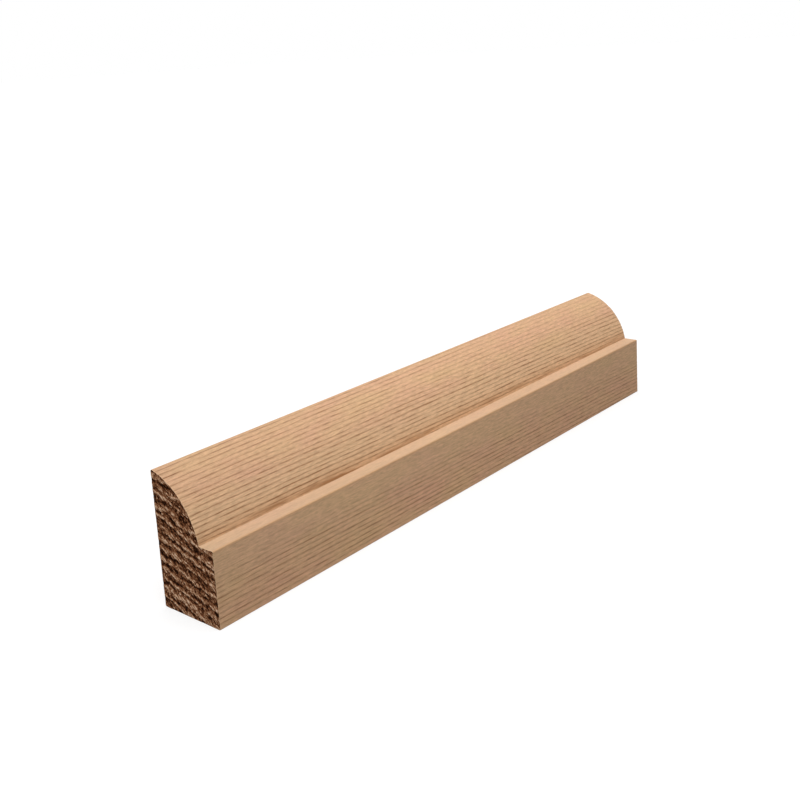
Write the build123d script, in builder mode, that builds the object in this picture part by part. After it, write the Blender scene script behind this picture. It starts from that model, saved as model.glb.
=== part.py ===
from build123d import *
import os

# Ovolo architrave: one short length of planed softwood moulding, cut square at both ends.
# It stands on its thick edge here. In use its flat back is fixed to the wall round a door.
# X runs along the length, +Y points out of the flat back and Z goes up the width.
# The origin is on the floor, under the middle of the thickness and of the length. Millimetres.

# Section, over the sharp corners before they are eased
width = 44.0  # up the back, from the thick edge to the crest
thickness = 25.0  # from the back to the front face
shoulder_height = 24.5  # up the front face, from the thick edge to the step
step_depth = 6.0  # how far the foot of the ovolo is set back from the front face
ovolo_radius = 24.0  # of the cutter that rounds the face from the step to the crest
arris_radius = 0.3  # the easing of the long square corners

# Cut length
length = 250.0

# Corners of the section, as (across the thickness, up the width)
back = thickness / 2
front = -thickness / 2
back_foot = (back, 0)
front_foot = (front, 0)
shoulder = (front, shoulder_height)
ovolo_foot = (front + step_depth, shoulder_height)
crest = (back, width)

# The moulding: its section swept straight from one sawn end to the other
with BuildPart() as ovolo_architrave:
    with BuildSketch(Plane.YZ.offset(-length / 2)) as section:
        with BuildLine() as outline:
            Polyline(crest, back_foot, front_foot, shoulder, ovolo_foot)
            RadiusArc(ovolo_foot, crest, ovolo_radius)
        make_face()
    extrude(amount=length)

    # Planing eases every long corner but the inner one, where the ovolo meets the step
    long_edges = ovolo_architrave.edges().filter_by(Axis.X)
    foot_arrises = long_edges.group_by(Axis.Z)[0]
    shoulder_arris = long_edges.group_by(Axis.Y)[0].sort_by(Axis.Z)[-1:]
    crest_arris = long_edges.sort_by(Axis.Z)[-1:]
    fillet(foot_arrises + shoulder_arris + crest_arris, radius=arris_radius)

ovolo_architrave.part.label = "ovolo_architrave"

os.makedirs("parts", exist_ok=True)
export_step(ovolo_architrave.part, "parts/ovolo_architrave.step")
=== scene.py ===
import math
import random

import bmesh
import bpy
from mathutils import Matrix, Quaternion, Vector
from mathutils.geometry import delaunay_2d_cdt
from mathutils.kdtree import KDTree


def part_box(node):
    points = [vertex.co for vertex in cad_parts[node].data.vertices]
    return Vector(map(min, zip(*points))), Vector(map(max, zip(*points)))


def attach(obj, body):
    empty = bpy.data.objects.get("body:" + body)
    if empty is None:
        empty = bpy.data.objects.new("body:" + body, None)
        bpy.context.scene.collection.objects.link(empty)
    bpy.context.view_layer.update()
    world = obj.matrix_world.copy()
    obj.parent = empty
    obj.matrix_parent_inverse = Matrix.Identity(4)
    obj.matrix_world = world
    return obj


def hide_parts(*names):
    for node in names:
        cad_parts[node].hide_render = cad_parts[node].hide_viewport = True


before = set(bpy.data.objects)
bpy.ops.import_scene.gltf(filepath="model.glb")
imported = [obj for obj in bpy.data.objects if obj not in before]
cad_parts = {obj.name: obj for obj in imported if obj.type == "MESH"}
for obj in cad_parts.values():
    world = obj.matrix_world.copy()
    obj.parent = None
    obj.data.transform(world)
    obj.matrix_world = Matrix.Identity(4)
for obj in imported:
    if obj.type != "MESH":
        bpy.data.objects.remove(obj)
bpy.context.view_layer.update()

# Section of the moulding.
# Softwood stock run through a four-sided moulder: the cutters leave a flat back, a square
# step and the rounded ovolo above it, and ease the long arrises. Here it is one flat face.
MM = 0.001
low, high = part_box("ovolo_architrave")
length = high.x - low.x
front, back = low.y / MM, high.y / MM  # the section is worked out in millimetres
width = 44.0
shoulder_height = 24.5
step_depth = 6.0
ovolo_radius = 24.0
arris_radius = 0.3
cell = 0.17  # mesh spacing on the sawn ends, fine enough for torn fibres
least_steps = 5  # in any bend of the outline
clearance = 0.6 * cell  # from the outline to the points scattered inside it
scatter = 0.3  # how far each of those is moved off its place in the grid, in cells
seed = 44
worn_width = 0.9  # how far the handling wear reaches from an arris
skin_width = 1.0  # how far in from the planed skin the saw tears less


def arc(centre, radius, start, end):
    """Points along an arc of the outline, in millimetres, from one angle to the other in degrees."""
    steps = max(least_steps, round(radius * abs(math.radians(end - start)) / cell))
    turns = [math.radians(start + (end - start) * step / steps) for step in range(steps + 1)]
    return [centre + radius * Vector((math.cos(turn), math.sin(turn))) for turn in turns]


def run(start, end):
    """Points between the two ends of a straight run of the outline, without the ends."""
    steps = max(1, round((end - start).length / cell))
    return [start.lerp(end, step / steps) for step in range(1, steps)]


def angle_of(vector):
    """The direction of a vector in the section, in degrees."""
    return math.degrees(math.atan2(vector.y, vector.x))


ovolo_foot = Vector((front + step_depth, shoulder_height))
crest = Vector((back, width))
chord = crest - ovolo_foot
off_chord = math.sqrt(ovolo_radius ** 2 - chord.length_squared / 4)
ovolo_centre = (ovolo_foot + crest) / 2 + Vector((chord.y, -chord.x)).normalized() * off_chord

# The easing of the crest touches both the ovolo and the back
crest_ease_y = back - arris_radius
crest_ease_z = ovolo_centre.y + math.sqrt(
    (ovolo_radius - arris_radius) ** 2 - (crest_ease_y - ovolo_centre.x) ** 2)
crest_ease = Vector((crest_ease_y, crest_ease_z))
crest_turn = angle_of(crest_ease - ovolo_centre)

back_bend = arc(Vector((back - arris_radius, arris_radius)), arris_radius, 0, -90)
front_bend = arc(Vector((front + arris_radius, arris_radius)), arris_radius, 270, 180)
shoulder_bend = arc(Vector((front + arris_radius, shoulder_height - arris_radius)), arris_radius, 180, 90)
ovolo_bend = arc(ovolo_centre, ovolo_radius, angle_of(ovolo_foot - ovolo_centre), crest_turn)[:-1]
crest_bend = arc(crest_ease, arris_radius, crest_turn, 0)
bends = [back_bend, front_bend, shoulder_bend, ovolo_bend, crest_bend]
outline = []
for bend, following in zip(bends, bends[1:] + bends[:1]):
    outline += bend + run(bend[-1], following[0])


def inside(point, margin):
    """Whether a point of the section lies in the wood, clear of the outline by the margin."""
    if not (front + margin < point.x < back - margin and margin < point.y):
        return False
    if point.y < shoulder_height - margin:
        return True
    return point.x > ovolo_foot.x + margin and (point - ovolo_centre).length < ovolo_radius - margin


draw = random.Random(seed)
filling = []
for row in range(round(width / cell)):
    for column in range(round((back - front) / cell)):
        jitter = Vector((draw.uniform(-scatter, scatter), draw.uniform(-scatter, scatter)))
        point = Vector((front, 0)) + (Vector((column + 0.5 * (row % 2), row)) + jitter) * cell
        if inside(point, clearance):
            filling.append(point)

count = len(outline)
rim = [(index, (index + 1) % count) for index in range(count)]
keep_inside = 1  # the kind of result that has no triangles beyond the outline
nearness = 1e-5  # below which two points are taken as one
points, _, triangles, *_ = delaunay_2d_cdt(
    outline + filling, rim, [list(range(count))], keep_inside, nearness)

section_mesh = bpy.data.meshes.new("moulding_section")
section_mesh.from_pydata([(-length / 2, point.x * MM, point.y * MM) for point in points], [], triangles)
if section_mesh.polygons[0].normal.x < 0:
    section_mesh.flip_normals()

skin = KDTree(count)
for index, point in enumerate(outline):
    skin.insert(point.to_3d(), index)
skin.balance()
arrises = [bend[len(bend) // 2] for bend in (shoulder_bend, crest_bend)]
worn = section_mesh.attributes.new("worn", "FLOAT", "POINT")
depth_in = section_mesh.attributes.new("depth_in", "FLOAT", "POINT")
for index, point in enumerate(points):
    to_arris = min((point - arris).length for arris in arrises)
    to_skin = skin.find(point.to_3d())[2]
    worn.data[index].value = max(0.0, 1 - to_arris / worn_width)
    depth_in.data[index].value = min(1.0, to_skin / skin_width)
section = bpy.data.objects.new("moulding_section", section_mesh)
bpy.context.scene.collection.objects.link(section)


# Wood of the moulding.
# One stick of slow-grown pine, unfinished. Every face is cut from the same growth rings, which
# are drawn as shells round the tree's heart, so that lines on the faces meet those on the ends.
def linear(code):
    """The linear colour, with alpha, of an sRGB hex code."""
    parts = [int(code[first:first + 2], 16) / 255 for first in (1, 3, 5)]
    levels = [part / 12.92 if part <= 0.04045 else ((part + 0.055) / 1.055) ** 2.4 for part in parts]
    return (*levels, 1)


def node(tree, kind, wires=None, out=0, **settings):
    """Adds a node with its settings, sets or links its inputs, and gives the wanted output."""
    made = tree.nodes.new(kind)
    for name, value in settings.items():
        setattr(made, name, value)
    for name, value in (wires or {}).items():
        if isinstance(value, bpy.types.NodeSocket):
            tree.links.new(value, made.inputs[name])
        else:
            made.inputs[name].default_value = value
    return made.outputs[out] if made.outputs else None


heart = (0, -14.5 * MM, -22 * MM)  # the middle of the tree, 22 mm below the foot of the front face
heart_tilt = (0, math.radians(1), math.radians(3))  # the stick is sawn a little off the grain
ring_power = 1.15  # rings get narrower as the tree ages
ring_pace = 0.34  # rings of 1.6 mm at the foot of the front face and 1.35 mm at the crest


def growth_rings(tree):
    """Adds the rings to a material. Gives the place in the wood and the shares of dark latewood,
    of pale wood round the shoulder, and of the lower ovolo."""
    # The rings sway by up to 0.75 mm, in waves about 80 mm long and 11 mm across
    place = node(tree, "ShaderNodeTexCoord", out="Object")
    slow = node(tree, "ShaderNodeMapping", {"Vector": place, "Scale": (12, 90, 90)})
    sway = node(tree, "ShaderNodeTexNoise", {"Vector": slow, "Scale": 1, "Detail": 4, "Roughness": 0.6},
                out="Color")
    centred = node(tree, "ShaderNodeVectorMath", {0: sway, 1: (0.5, 0.5, 0.5)}, operation="SUBTRACT")
    swayed = node(tree, "ShaderNodeVectorMath", {0: centred, 1: (0, 1.5 * MM, 1.5 * MM), 2: place},
                  operation="MULTIPLY_ADD")
    from_heart = node(tree, "ShaderNodeMapping",
                      {"Vector": swayed, "Location": heart, "Rotation": heart_tilt},
                      vector_type="TEXTURE")
    across = node(tree, "ShaderNodeVectorMath", {0: from_heart, 1: (0, 1 / MM, 1 / MM)},
                  operation="MULTIPLY")
    radius = node(tree, "ShaderNodeVectorMath", {0: across}, out="Value", operation="LENGTH")
    grown = node(tree, "ShaderNodeMath", {0: radius, 1: ring_power}, operation="POWER")
    even = node(tree, "ShaderNodeMath", {0: grown, 1: ring_pace}, operation="MULTIPLY")

    # Good and poor years make the rings uneven in width, and their latewood uneven in strength
    season = node(tree, "ShaderNodeTexNoise", {"W": even, "Scale": 0.45, "Detail": 1},
                  noise_dimensions="1D")
    ring = node(tree, "ShaderNodeMath", {0: season, 1: 0.5, 2: even}, operation="MULTIPLY_ADD")
    year = node(tree, "ShaderNodeMath", {0: ring}, operation="FLOOR")
    growth = node(tree, "ShaderNodeMath", {0: ring}, operation="FRACT")
    luck = node(tree, "ShaderNodeTexWhiteNoise", {"W": year}, noise_dimensions="1D")
    vigour = node(tree, "ShaderNodeMapRange", {"Value": luck, "To Min": 0.7, "To Max": 0.95})

    # A year's wood is pale for two thirds of its width and then darkens
    dark = node(tree, "ShaderNodeValToRGB", {"Fac": growth})
    shades = dark.node.color_ramp.elements
    for shade in shades:
        shade.color = (0.25, 0.25, 0.25, 1)
    for at, grey in ((0.08, 0.05), (0.35, 0), (0.66, 0.1), (0.79, 0.8), (0.88, 1)):
        shades.new(at).color = (grey, grey, grey, 1)

    # The wood is paler round the shoulder. Outside the step the rings hardly darkened either, so
    # that corner is plain, and it reaches lower on the front face at the right end.
    corner_drop = 3 * MM
    from_shoulder = node(tree, "ShaderNodeVectorMath",
                         {0: swayed, 1: (0, front * MM, shoulder_height * MM)}, operation="SUBTRACT")
    sideways = node(tree, "ShaderNodeVectorMath", {0: from_shoulder, 1: (0, 1, 1)}, operation="MULTIPLY")
    distance = node(tree, "ShaderNodeVectorMath", {0: sideways}, out="Value", operation="LENGTH")
    pale = node(tree, "ShaderNodeMapRange",
                {"Value": distance, "From Min": 9 * MM, "From Max": 16 * MM,
                 "To Min": 1.0, "To Max": 0.0})
    swayed_axes = node(tree, "ShaderNodeSeparateXYZ", {0: swayed}).node.outputs
    outer = node(tree, "ShaderNodeMapRange",
                 {"Value": swayed_axes["Y"], "From Min": (ovolo_foot.x - 0.1) * MM,
                  "From Max": (ovolo_foot.x + 0.3) * MM, "To Min": 1.0, "To Max": 0.0})
    falling = node(tree, "ShaderNodeMath",
                   {0: swayed_axes["X"], 1: corner_drop / length, 2: swayed_axes["Z"]},
                   operation="MULTIPLY_ADD")
    upper = node(tree, "ShaderNodeMapRange",
                 {"Value": falling, "From Min": 12.5 * MM, "From Max": 18.5 * MM})
    corner = node(tree, "ShaderNodeMath", {0: outer, 1: upper}, operation="MULTIPLY")
    lined = node(tree, "ShaderNodeMapRange", {"Value": corner, "To Min": 1.0, "To Max": 0.2})

    # The lines are firmest low on the ovolo, and faint by the crest towards the right end
    low_ovolo = node(tree, "ShaderNodeMath", {0: pale, 1: outer}, operation="SUBTRACT", use_clamp=True)
    firm = node(tree, "ShaderNodeMapRange", {"Value": low_ovolo, "To Min": 1.0, "To Max": 1.25})
    by_crest = node(tree, "ShaderNodeMapRange",
                    {"Value": swayed_axes["Z"], "From Min": 36 * MM, "From Max": 41 * MM})
    rightwards = node(tree, "ShaderNodeMapRange",
                      {"Value": swayed_axes["X"], "From Min": -60 * MM, "From Max": 90 * MM})
    sapwood = node(tree, "ShaderNodeMath", {0: by_crest, 1: rightwards}, operation="MULTIPLY")
    faint = node(tree, "ShaderNodeMapRange", {"Value": sapwood, "To Min": 1.0, "To Max": 0.45})
    latewood = vigour
    for change in (lined, firm, faint, dark):
        latewood = node(tree, "ShaderNodeMath", {0: latewood, 1: change}, operation="MULTIPLY")
    return place, latewood, pale, low_ovolo


# Planed pine: sharp knives leave the fibres cut clean, so the face is matt with a faint sheen,
# tan earlywood between thin brown lines of latewood, which break up into short darker dashes.
planed = bpy.data.materials.new("planed_pine")
planed.use_nodes = True
tree = planed.node_tree
tree.nodes.clear()
place, latewood, pale, low_ovolo = growth_rings(tree)

# The sockets of a Mix node that mixes colours go by number, as its other kinds share their names
share, under, over = 0, 6, 7
colour_mix = {"out": 2, "data_type": "RGBA"}

# Clouds of warmer and cooler tan, about 22 mm long and 8 mm across
cloud = node(tree, "ShaderNodeMapping", {"Vector": place, "Scale": (45, 130, 130)})
clouding = node(tree, "ShaderNodeTexNoise", {"Vector": cloud, "Scale": 1, "Detail": 3})
clouded = node(tree, "ShaderNodeMapRange", {"Value": clouding, "From Min": 0.3, "From Max": 0.7})
tan_wood = node(tree, "ShaderNodeMix",
                {share: clouded, under: linear("#deb68b"), over: linear("#dfaf8d")}, **colour_mix)
pale_wood = node(tree, "ShaderNodeMix",
                 {share: clouded, under: linear("#dcb58b"), over: linear("#deb28e")}, **colour_mix)
around = node(tree, "ShaderNodeMix", {share: pale, under: tan_wood, over: pale_wood}, **colour_mix)
# Painted light: low on the ovolo the earlywood is painted paler, standing in for light falling on that
# curve
earlywood = node(tree, "ShaderNodeMix",
                 {share: low_ovolo, under: around, over: linear("#e5bc93")}, **colour_mix)

# Each ring's line swells and thins along the grain, in dashes from half a millimetre to nine long
broken = node(tree, "ShaderNodeMapping", {"Vector": place, "Scale": (110, 1200, 1200)})
breaks = node(tree, "ShaderNodeTexNoise", {"Vector": broken, "Scale": 1, "Detail": 4, "Roughness": 0.75})
strength = node(tree, "ShaderNodeMapRange",
                {"Value": breaks, "From Min": 0.36, "From Max": 0.64, "To Min": 0.15, "To Max": 1.15})
line = node(tree, "ShaderNodeMath", {0: latewood, 1: strength}, operation="MULTIPLY")
ringed = node(tree, "ShaderNodeMix",
              {share: line, under: earlywood, over: linear("#94643d")}, **colour_mix)

# Fibres 0.3 mm across and 2.5 mm long, about ten times as wide as real ones, so that they show
along = node(tree, "ShaderNodeMapping", {"Vector": place, "Scale": (400, 3000, 3000)})
fibre = node(tree, "ShaderNodeTexNoise", {"Vector": along, "Scale": 1, "Detail": 4, "Roughness": 0.7})
shade = node(tree, "ShaderNodeMapRange",
             {"Value": fibre, "From Min": 0.25, "From Max": 0.75, "To Min": 0.7, "To Max": 1.3})
fibred = node(tree, "ShaderNodeMix",
              {share: 1.0, under: ringed, over: shade}, **colour_mix, blend_type="MULTIPLY")

# Resin ducts 0.2 mm across, cut lengthwise, mostly in the latewood
duct_place = node(tree, "ShaderNodeMapping", {"Vector": place, "Scale": (170, 5000, 5000)})
duct_noise = node(tree, "ShaderNodeTexNoise", {"Vector": duct_place, "Scale": 1, "Detail": 0})
duct = node(tree, "ShaderNodeMapRange",
            {"Value": duct_noise, "From Min": 0.64, "From Max": 0.76, "To Max": 0.8})
late_duct = node(tree, "ShaderNodeMath", {0: duct, 1: latewood}, operation="MULTIPLY")
ducted = node(tree, "ShaderNodeMix",
              {share: late_duct, under: fibred, over: linear("#7d5230")}, **colour_mix)

# Painted shade: the foot of the ovolo, in the inner corner above the step, is painted darker in long
# smears, of which the clearest are 20 to 60 mm from the left end
axes = node(tree, "ShaderNodeSeparateXYZ", {0: place}).node.outputs
from_foot = node(tree, "ShaderNodeVectorMath",
                 {0: place, 1: (0, ovolo_foot.x * MM, ovolo_foot.y * MM)}, operation="SUBTRACT")
across_foot = node(tree, "ShaderNodeVectorMath", {0: from_foot, 1: (0, 1, 1)}, operation="MULTIPLY")
foot_distance = node(tree, "ShaderNodeVectorMath", {0: across_foot}, out="Value", operation="LENGTH")
by_foot = node(tree, "ShaderNodeMapRange",
               {"Value": foot_distance, "From Min": 1 * MM, "From Max": 4 * MM,
                "To Min": 1.0, "To Max": 0.0})
behind_step = node(tree, "ShaderNodeMapRange",
                   {"Value": axes["Y"], "From Min": (ovolo_foot.x - 0.05) * MM,
                    "From Max": (ovolo_foot.x + 0.02) * MM})
smear_middle = (74.75, 0, 0)  # of the noise, at mid length, so that the smears fall in the right places
streak_place = node(tree, "ShaderNodeMapping",
                    {"Vector": place, "Location": smear_middle, "Scale": (45, 500, 500)})
streaks = node(tree, "ShaderNodeTexNoise", {"Vector": streak_place, "Scale": 1, "Detail": 3})
streaked = node(tree, "ShaderNodeMapRange",
                {"Value": streaks, "From Min": 0.49, "From Max": 0.66, "To Min": 0.1, "To Max": 0.85})
at_foot = node(tree, "ShaderNodeMath", {0: by_foot, 1: behind_step}, operation="MULTIPLY")
painted_corner_shade = node(tree, "ShaderNodeMath", {0: at_foot, 1: streaked}, operation="MULTIPLY")
corner_shaded = node(tree, "ShaderNodeMix",
                {share: painted_corner_shade, under: ducted, over: linear("#a8784f")}, **colour_mix)

# The step is mixed towards a paler, greyer tan: partly the pale wood of one ring, as the step lies along
# the rings instead of across them, and partly painted light on this upward face
step_level = node(tree, "ShaderNodeMapRange",
                  {"Value": axes["Z"], "From Min": (shoulder_height - 0.1) * MM,
                   "From Max": (shoulder_height - 0.05) * MM})
before_foot = node(tree, "ShaderNodeMath", {0: 1.0, 1: behind_step}, operation="SUBTRACT")
on_step = node(tree, "ShaderNodeMath", {0: step_level, 1: before_foot}, operation="MULTIPLY")
pale_and_lit_step_share = node(tree, "ShaderNodeMath", {0: on_step, 1: 0.4}, operation="MULTIPLY")
stepped = node(tree, "ShaderNodeMix",
               {share: pale_and_lit_step_share, under: corner_shaded, over: linear("#dbbda1")}, **colour_mix)

# Painted shade: the front face is painted a little darker towards its right end, where the light falls
# off
at_front = node(tree, "ShaderNodeMapRange",
                {"Value": axes["Y"], "From Min": (front + 0.3) * MM, "From Max": (front + 0.5) * MM,
                 "To Min": 1.0, "To Max": 0.0})
front_painted_falloff = node(tree, "ShaderNodeMapRange",
                 {"Value": axes["X"], "From Min": -60 * MM, "From Max": 100 * MM,
                  "To Min": 1.0, "To Max": 0.87})
front_falloff_shaded = node(tree, "ShaderNodeMix",
                {share: at_front, under: stepped, over: front_painted_falloff}, **colour_mix, blend_type="MULTIPLY")

# Painted shade: the wood is painted darker towards its left end, where the light falls off. Handling has
# rubbed the upper arrises to a warmer tan, and the saw leaves a pale feathered edge at both ends
painted_falloff = node(tree, "ShaderNodeMapRange",
              {"Value": axes["X"], "From Min": -length / 2, "From Max": -length / 2 + 110 * MM,
               "To Min": 0.88})
falloff_shaded = node(tree, "ShaderNodeMix",
              {share: 1.0, under: front_falloff_shaded, over: painted_falloff}, **colour_mix, blend_type="MULTIPLY")
worn_share = node(tree, "ShaderNodeAttribute", out="Fac", attribute_name="worn")
rubbed = node(tree, "ShaderNodeMath", {0: worn_share, 1: fibre}, operation="MULTIPLY")
warmed = node(tree, "ShaderNodeMix",
              {share: rubbed, under: falloff_shaded, over: linear("#c99767")}, **colour_mix)
from_middle = node(tree, "ShaderNodeMath", {0: axes["X"]}, operation="ABSOLUTE")
at_end = node(tree, "ShaderNodeMapRange",
              {"Value": from_middle, "From Min": length / 2 - 0.5 * MM,
               "From Max": length / 2 - 0.1 * MM, "To Max": 0.3})
edged = node(tree, "ShaderNodeMix",
             {share: at_end, under: warmed, over: linear("#e6c6a0")}, **colour_mix)

# The knives leave ripples across the grain, a few thousandths of a millimetre deep
knife_pitch = 1.2 * MM
pitch_turn = node(tree, "ShaderNodeMath", {0: axes["X"], 1: math.tau / knife_pitch},
                  operation="MULTIPLY")
ripple = node(tree, "ShaderNodeMath", {0: pitch_turn}, operation="SINE")
sheen = node(tree, "ShaderNodeMapRange", {"Value": latewood, "To Min": 0.72, "To Max": 0.58})
grain_relief = node(tree, "ShaderNodeMath", {0: fibre, 1: 0.5, 2: latewood}, operation="MULTIPLY_ADD")
relief = node(tree, "ShaderNodeMath", {0: ripple, 1: 0.05, 2: grain_relief}, operation="MULTIPLY_ADD")
bump = node(tree, "ShaderNodeBump", {"Height": relief, "Strength": 0.35, "Distance": 0.05 * MM},
            out="Normal")
surface = node(tree, "ShaderNodeBsdfPrincipled",
               {"Base Color": edged, "Roughness": sheen, "Normal": bump, "IOR": 1.5,
                "Specular IOR Level": 0.2})
node(tree, "ShaderNodeOutputMaterial", {"Surface": surface})

# Cross-cut pine: a coarse saw tears the end fibres, so the face is dull, brown and uneven, with
# dark slots where tufts were pulled out and paler bruised fibre standing between them. The slots are
# dark partly for the torn fibre's own brown and partly for painted shade in the pits.
sawn = bpy.data.materials.new("cross_cut_pine")
sawn.use_nodes = True
tree = sawn.node_tree
tree.nodes.clear()
place, latewood, *_ = growth_rings(tree)
torn_depth = node(tree, "ShaderNodeAttribute", out="Fac", attribute_name="torn_depth")
tuft_angle = math.radians(37)  # the saw bends the tufts and the fibre ends over the same way
stroke = node(tree, "ShaderNodeMapping",
              {"Vector": place, "Rotation": (tuft_angle, 0, 0),
               "Scale": (0.3 * MM, 0.8 * MM, 0.24 * MM)}, vector_type="TEXTURE")
speck = node(tree, "ShaderNodeTexNoise", {"Vector": stroke, "Scale": 1, "Detail": 2})
# The deeper a spot is torn, the darker it is painted: partly the torn fibre's brown, partly painted shade
uneven = node(tree, "ShaderNodeMath", {0: speck, 1: torn_depth}, operation="ADD")
palest = 0.54  # the sum at which a spot is palest, and from which it darkens the deeper it is torn
pit_shade_level = node(tree, "ShaderNodeMath", {0: uneven, 1: palest}, operation="SUBTRACT")
brown_and_pit_shade = node(tree, "ShaderNodeValToRGB", {"Fac": pit_shade_level})
browns_and_pit_shade = brown_and_pit_shade.node.color_ramp.elements
browns_and_pit_shade[0].color = linear("#eac8aa")
browns_and_pit_shade[1].color = linear("#1e0800")
browns_and_pit_shade[1].position = 0.74
for at, brown in ((0.2, "#bf906c"), (0.45, "#7e4c2e")):
    browns_and_pit_shade.new(at).color = linear(brown)
ring_stain = node(tree, "ShaderNodeMapRange", {"Value": latewood, "To Min": 1.0, "To Max": 0.88})
stained = node(tree, "ShaderNodeMix",
               {share: 1.0, under: brown_and_pit_shade, over: ring_stain}, **colour_mix, blend_type="MULTIPLY")
bump = node(tree, "ShaderNodeBump", {"Height": speck, "Strength": 0.6, "Distance": 0.1 * MM},
            out="Normal")
surface = node(tree, "ShaderNodeBsdfPrincipled",
               {"Base Color": stained, "Roughness": 0.95, "Normal": bump, "IOR": 1.5,
                "Specular IOR Level": 0.05})
node(tree, "ShaderNodeOutputMaterial", {"Surface": surface})


# The moulding, cut to length.
# The section is run out along X, as the moulder does, and both ends are cross-cut. The saw
# leaves slanting bands and tears short tufts out of the ends, so they are sunk unevenly.
cut = bpy.data.node_groups.new("cut_to_length", "GeometryNodeTree")
cut.is_modifier = True
cut.interface.new_socket("Geometry", in_out="OUTPUT", socket_type="NodeSocketGeometry")
cut.interface.new_socket("Geometry", in_out="INPUT", socket_type="NodeSocketGeometry")
cut_sizes = {
    "Length": length,
    "Saw mark angle": math.radians(-16),  # the marks fall towards the front
    "Saw mark length": 12.0 * MM,
    "Saw mark spacing": 3.2 * MM,
    "Tuft angle": -tuft_angle,
    "Tuft length": 1.5 * MM,
    "Tuft width": 0.37 * MM,
    "Tear depth": 0.45 * MM,
}
sockets = {}
for name, value in cut_sizes.items():
    sockets[name] = cut.interface.new_socket(name, in_out="INPUT", socket_type="NodeSocketFloat")
for name, material in (("Planed", planed), ("Sawn", sawn)):
    sockets[name] = cut.interface.new_socket(name, in_out="INPUT", socket_type="NodeSocketMaterial")

given = cut.nodes.new("NodeGroupInput").outputs
travel = node(cut, "ShaderNodeCombineXYZ", {"X": given["Length"]})
run_out = node(cut, "GeometryNodeExtrudeMesh",
               {"Mesh": given["Geometry"], "Offset": travel, "Individual": False}, mode="FACES")
near_face = node(cut, "GeometryNodeFlipFaces", {"Mesh": given["Geometry"]})
both = cut.nodes.new("GeometryNodeJoinGeometry")
for part in (run_out, near_face):
    cut.links.new(part, both.inputs[0])
closed = node(cut, "GeometryNodeMergeByDistance", {"Geometry": both.outputs[0], "Distance": 0.01 * MM})

facing = node(cut, "ShaderNodeSeparateXYZ", {0: node(cut, "GeometryNodeInputNormal")}, out="X")
steep = node(cut, "ShaderNodeMath", {0: facing}, operation="ABSOLUTE")
is_end = node(cut, "FunctionNodeCompare", {0: steep, 1: 0.5}, operation="GREATER_THAN",
              data_type="FLOAT")
marked = node(cut, "GeometryNodeStoreNamedAttribute",
              {"Geometry": closed, "Name": "cross_cut", "Value": is_end},
              data_type="BOOLEAN", domain="FACE")

# Three scales of tearing: the blade's bands, the tufts and the crumbs between them. The two ends
# take them from noise so far apart that one end is torn unlike the other.
ends_apart = 300.0  # steps of the noise to a metre of length
spot = node(cut, "GeometryNodeInputPosition")
end_of = node(cut, "ShaderNodeSeparateXYZ", {0: spot}, out="X")
apart = node(cut, "ShaderNodeMath", {0: end_of, 1: ends_apart}, operation="MULTIPLY")
layers = []
for slant, long_size, short_size, detail in (
        ("Saw mark angle", "Saw mark length", "Saw mark spacing", 1),
        ("Tuft angle", "Tuft length", "Tuft width", 2),
        ("Tuft angle", "Tuft width", "Tuft width", 1)):
    turned = node(cut, "ShaderNodeVectorRotate", {"Vector": spot, "Angle": given[slant]},
                  rotation_type="X_AXIS")
    seen = node(cut, "ShaderNodeSeparateXYZ", {0: turned}).node.outputs
    lengthways = node(cut, "ShaderNodeMath", {0: seen["Y"], 1: given[long_size]}, operation="DIVIDE")
    crossways = node(cut, "ShaderNodeMath", {0: seen["Z"], 1: given[short_size]}, operation="DIVIDE")
    field = node(cut, "ShaderNodeCombineXYZ", {0: apart, 1: lengthways, 2: crossways})
    layer = node(cut, "ShaderNodeTexNoise", {"Vector": field, "Scale": 1, "Detail": detail})
    layers.append((crossways, layer))
(band, wobble), (_, tufts), (_, crumbs) = layers

# The bands waver, and a thin ridge of whole fibre is left standing between one and the next
waver = 1.6  # in bands, at most
crumb_share, band_share = 0.4, 0.17  # of the tearing, where the tufts' share is 1
wavering = node(cut, "ShaderNodeMath", {0: wobble, 1: waver, 2: band}, operation="MULTIPLY_ADD")
band_turn = node(cut, "ShaderNodeMath", {0: wavering, 1: math.tau}, operation="MULTIPLY")
wave = node(cut, "ShaderNodeMath", {0: band_turn}, operation="SINE")
between = node(cut, "ShaderNodeMapRange", {"Value": wave, "From Min": -1.0, "From Max": 0.4})
picked = node(cut, "ShaderNodeMath", {0: crumbs, 1: crumb_share, 2: tufts}, operation="MULTIPLY_ADD")
torn = node(cut, "ShaderNodeMath", {0: between, 1: band_share, 2: picked}, operation="MULTIPLY_ADD")
depth = node(cut, "ShaderNodeMapRange", {"Value": torn, "From Min": 0.56, "From Max": 1.04})

# The planed skin holds the fibres at the edge of the cut, so the outline stays nearly clean
from_skin = node(cut, "GeometryNodeInputNamedAttribute", {"Name": "depth_in"}, data_type="FLOAT")
freed = node(cut, "ShaderNodeMapRange", {"Value": from_skin, "To Min": 0.3, "To Max": 1.0})
reach = node(cut, "ShaderNodeMath", {0: given["Tear depth"], 1: freed}, operation="MULTIPLY")
sunk = node(cut, "ShaderNodeMath", {0: depth, 1: reach}, operation="MULTIPLY")
outward = node(cut, "ShaderNodeMath", {0: end_of}, operation="SIGN")
pull = node(cut, "ShaderNodeMath", {0: sunk, 1: outward}, operation="MULTIPLY")
back_off = node(cut, "ShaderNodeMath", {0: pull, 1: -1.0}, operation="MULTIPLY")
shift = node(cut, "ShaderNodeCombineXYZ", {"X": back_off})
noted = node(cut, "GeometryNodeStoreNamedAttribute",
             {"Geometry": marked, "Name": "torn_depth", "Value": depth},
             data_type="FLOAT", domain="POINT")
roughened = node(cut, "GeometryNodeSetPosition", {"Geometry": noted, "Offset": shift})
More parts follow.
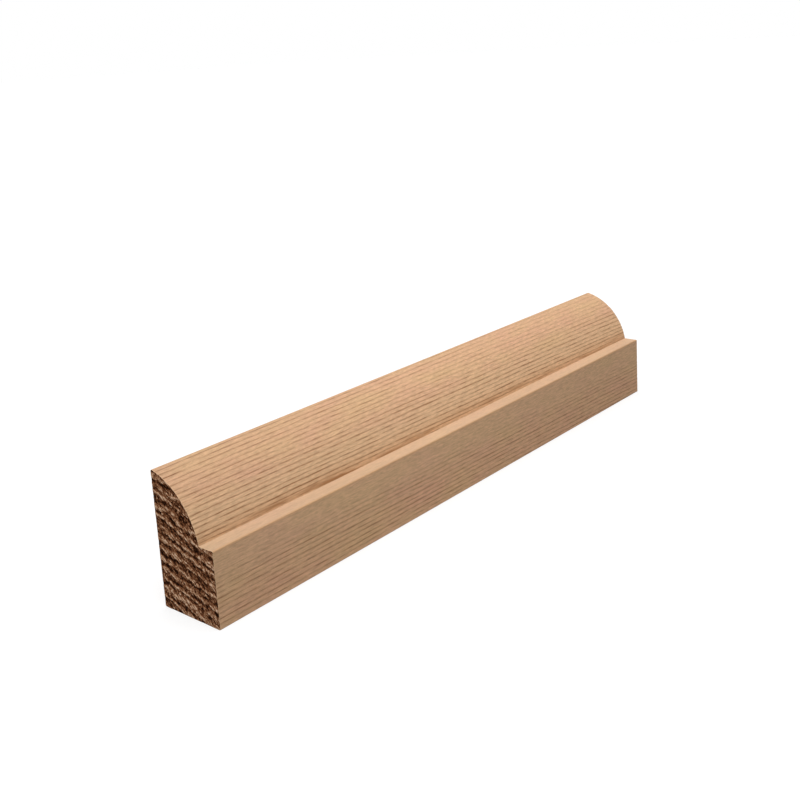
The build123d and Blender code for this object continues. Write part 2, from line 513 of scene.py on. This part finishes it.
real = node(cut, "GeometryNodeRealizeInstances", {"Geometry": roughened})
all_planed = node(cut, "GeometryNodeSetMaterial", {"Geometry": real, "Material": given["Planed"]})
cross_cut = node(cut, "GeometryNodeInputNamedAttribute", {"Name": "cross_cut"}, data_type="BOOLEAN")
ends_sawn = node(cut, "GeometryNodeSetMaterial",
                 {"Geometry": all_planed, "Selection": cross_cut, "Material": given["Sawn"]})
node_out = cut.nodes.new("NodeGroupOutput")
cut.links.new(ends_sawn, node_out.inputs[0])

sawing = section.modifiers.new("cut to length", "NODES")
sawing.node_group = cut
for name, value in {**cut_sizes, "Planed": planed, "Sawn": sawn}.items():
    sawing[sockets[name].identifier] = value

shown = section.evaluated_get(bpy.context.evaluated_depsgraph_get())
timber_mesh = bpy.data.meshes.new_from_object(shown)
bpy.data.objects.remove(section)

# The faces are shaded smooth, but for the arrises of the ends and the long corner at the step
sharp_angle = math.radians(30)
shape = bmesh.new()
shape.from_mesh(timber_mesh)
for face in shape.faces:
    face.smooth = True
for edge in shape.edges:
    meets_end = len({face.material_index for face in edge.link_faces}) > 1
    in_end = all(face.material_index == 1 for face in edge.link_faces)
    edge.smooth = not meets_end and (in_end or edge.calc_face_angle() < sharp_angle)
shape.to_mesh(timber_mesh)
shape.free()

timber = bpy.data.objects.new("ovolo_moulding", timber_mesh)
bpy.context.scene.collection.objects.link(timber)
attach(timber, "root")
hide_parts("ovolo_architrave")


# Floor.
# A plain pale table top. It is white to the camera where it is lit, and keeps the soft shadow,
# but sends only part of the light back up, so that the front of the moulding stays modelled.
def white_to_the_eye(tree):
    """Adds a test for the rays that see white: from the camera, or passed on by gloss or glass."""
    rays = node(tree, "ShaderNodeLightPath").node.outputs
    passed_on = node(tree, "ShaderNodeMath",
                     {0: rays["Is Glossy Ray"], 1: rays["Is Transmission Ray"]}, operation="MAXIMUM")
    return node(tree, "ShaderNodeMath", {0: rays["Is Camera Ray"], 1: passed_on}, operation="MAXIMUM")


floor_reach = 12.0
floor_corners = [(-floor_reach, -floor_reach, 0), (floor_reach, -floor_reach, 0),
                 (floor_reach, floor_reach, 0), (-floor_reach, floor_reach, 0)]
floor_mesh = bpy.data.meshes.new("floor")
floor_mesh.from_pydata(floor_corners, [], [(0, 1, 2, 3)])
floor = bpy.data.objects.new("floor", floor_mesh)
bpy.context.scene.collection.objects.link(floor)

paint = bpy.data.materials.new("matt_white_table")
paint.use_nodes = True
tree = paint.node_tree
tree.nodes.clear()
lit = node(tree, "ShaderNodeBsdfDiffuse", {"Color": (0.4, 0.4, 0.4, 1)})
floor_glow = 0.66  # brings a well lit floor to white
lift = node(tree, "ShaderNodeMath", {0: white_to_the_eye(tree), 1: floor_glow}, operation="MULTIPLY")
glow = node(tree, "ShaderNodeEmission", {"Strength": lift})
together = node(tree, "ShaderNodeAddShader", {0: lit, 1: glow})
node(tree, "ShaderNodeOutputMaterial", {"Surface": together})
floor_mesh.materials.append(paint)

# Light.
# A broad soft lamp high overhead, a softbox near the camera, whose light fades along the
# moulding, another behind the moulding for its back and far end, and a dim even room.
overhead = bpy.data.lights.new("overhead_softbox", "SUN")
overhead.energy = 2.18
overhead.angle = math.radians(60)
hung = bpy.data.objects.new("overhead_softbox", overhead)
hung.rotation_euler = (math.radians(12), 0, math.radians(-30))
bpy.context.scene.collection.objects.link(hung)

for name, energy, stand in (("front_softbox", 0.62, (-0.376, -0.316, 0.36)),
                            ("back_softbox", 0.9, (0.33, 0.48, 0.2))):
    softbox = bpy.data.lights.new(name, "AREA")
    softbox.energy = energy
    softbox.size = 0.5
    stood = bpy.data.objects.new(name, softbox)
    stood.location = stand
    stood.rotation_euler = (-stood.location).to_track_quat("-Z", "Y").to_euler()
    stood.visible_camera = False
    bpy.context.scene.collection.objects.link(stood)

room = bpy.data.worlds.new("studio")
bpy.context.scene.world = room
room.use_nodes = True
tree = room.node_tree
tree.nodes.clear()
brightness = node(tree, "ShaderNodeMapRange",
                  {"Value": white_to_the_eye(tree), "To Min": 0.2, "To Max": 1.0})
air = node(tree, "ShaderNodeBackground", {"Color": linear("#ffffff"), "Strength": brightness})
node(tree, "ShaderNodeOutputWorld", {"Surface": air})

# Camera.
# It looks down the moulding from the front of its left end. The lens is shifted down, as on a
# camera with a rising back, because the upright edges hardly converge.
eye = Vector((-0.30282, -0.24199, 0.16144))
aim = Vector((-0.00073, 0.01844, 0.07509))
roll = math.radians(-3.472)
lens = bpy.data.cameras.new("camera")
lens.sensor_width = 36.0
lens.lens = 48.85
lens.shift_y = -0.15
camera = bpy.data.objects.new("camera", lens)
camera.location = eye
upright = (aim - eye).to_track_quat("-Z", "Y")
camera.rotation_euler = (upright @ Quaternion((0, 0, 1), roll)).to_euler()
bpy.context.scene.collection.objects.link(camera)
bpy.context.scene.camera = camera
bpy.context.scene.view_settings.view_transform = "Standard"
